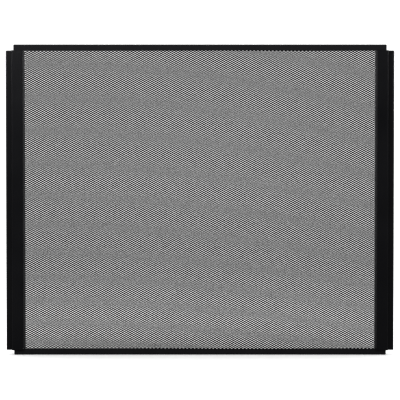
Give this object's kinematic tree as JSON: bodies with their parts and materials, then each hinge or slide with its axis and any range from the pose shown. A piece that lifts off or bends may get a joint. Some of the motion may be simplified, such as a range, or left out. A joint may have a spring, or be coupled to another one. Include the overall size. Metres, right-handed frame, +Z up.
{
  "type": "fireplace screen",
  "caption": "Flat rectangular fireplace screen: fine black steel mesh in a narrow folded frame, with a stepped rail and outward flange down each side.",
  "frame": {"origin": "middle of the screen's footprint, on the surface that it stands on", "axes": "+X across the screen to the viewer's right, +Y from the room side to the fire side, +Z up"},
  "size_m": [0.637, 0.0254, 0.508],
  "materials": {
    "frame_paint": "satin black powder coat with a fine texture",
    "mesh_paint": "satin black paint on expanded steel mesh",
    "zinc_plate": "dull bright zinc plate"
  },
  "bodies": {
    "root": {"bottom_clamp_nut_1": "zinc_plate", "bottom_clamp_nut_2": "zinc_plate", "bottom_clamp_nut_3": "zinc_plate", "bottom_clamp_nut_4": "zinc_plate", "bottom_left_bracket": "zinc_plate", "bottom_left_rail_rivet": "zinc_plate", "bottom_left_stile_rivet": "zinc_plate", "bottom_mesh_clamp": "frame_paint", "bottom_rail": "frame_paint", "bottom_right_bracket": "zinc_plate", "bottom_right_rail_rivet": "zinc_plate", "bottom_right_stile_rivet": "zinc_plate", "bottom_weld_stud_1": "zinc_plate", "bottom_weld_stud_2": "zinc_plate", "bottom_weld_stud_3": "zinc_plate", "bottom_weld_stud_4": "zinc_plate", "left_clamp_nut_1": "zinc_plate", "left_clamp_nut_2": "zinc_plate", "left_clamp_nut_3": "zinc_plate", "left_mesh_clamp": "frame_paint", "left_side_rail": "frame_paint", "left_stile": "frame_paint", "left_weld_stud_1": "zinc_plate", "left_weld_stud_2": "zinc_plate", "left_weld_stud_3": "zinc_plate", "mesh_panel": "mesh_paint", "right_clamp_nut_1": "zinc_plate", "right_clamp_nut_2": "zinc_plate", "right_clamp_nut_3": "zinc_plate", "right_mesh_clamp": "frame_paint", "right_side_rail": "frame_paint", "right_stile": "frame_paint", "right_weld_stud_1": "zinc_plate", "right_weld_stud_2": "zinc_plate", "right_weld_stud_3": "zinc_plate", "top_clamp_nut_1": "zinc_plate", "top_clamp_nut_2": "zinc_plate", "top_clamp_nut_3": "zinc_plate", "top_clamp_nut_4": "zinc_plate", "top_left_bracket": "zinc_plate", "top_left_rail_rivet": "zinc_plate", "top_left_stile_rivet": "zinc_plate", "top_mesh_clamp": "frame_paint", "top_rail": "frame_paint", "top_right_bracket": "zinc_plate", "top_right_rail_rivet": "zinc_plate", "top_right_stile_rivet": "zinc_plate", "top_weld_stud_1": "zinc_plate", "top_weld_stud_2": "zinc_plate", "top_weld_stud_3": "zinc_plate", "top_weld_stud_4": "zinc_plate"}
  },
  "joints": []
}
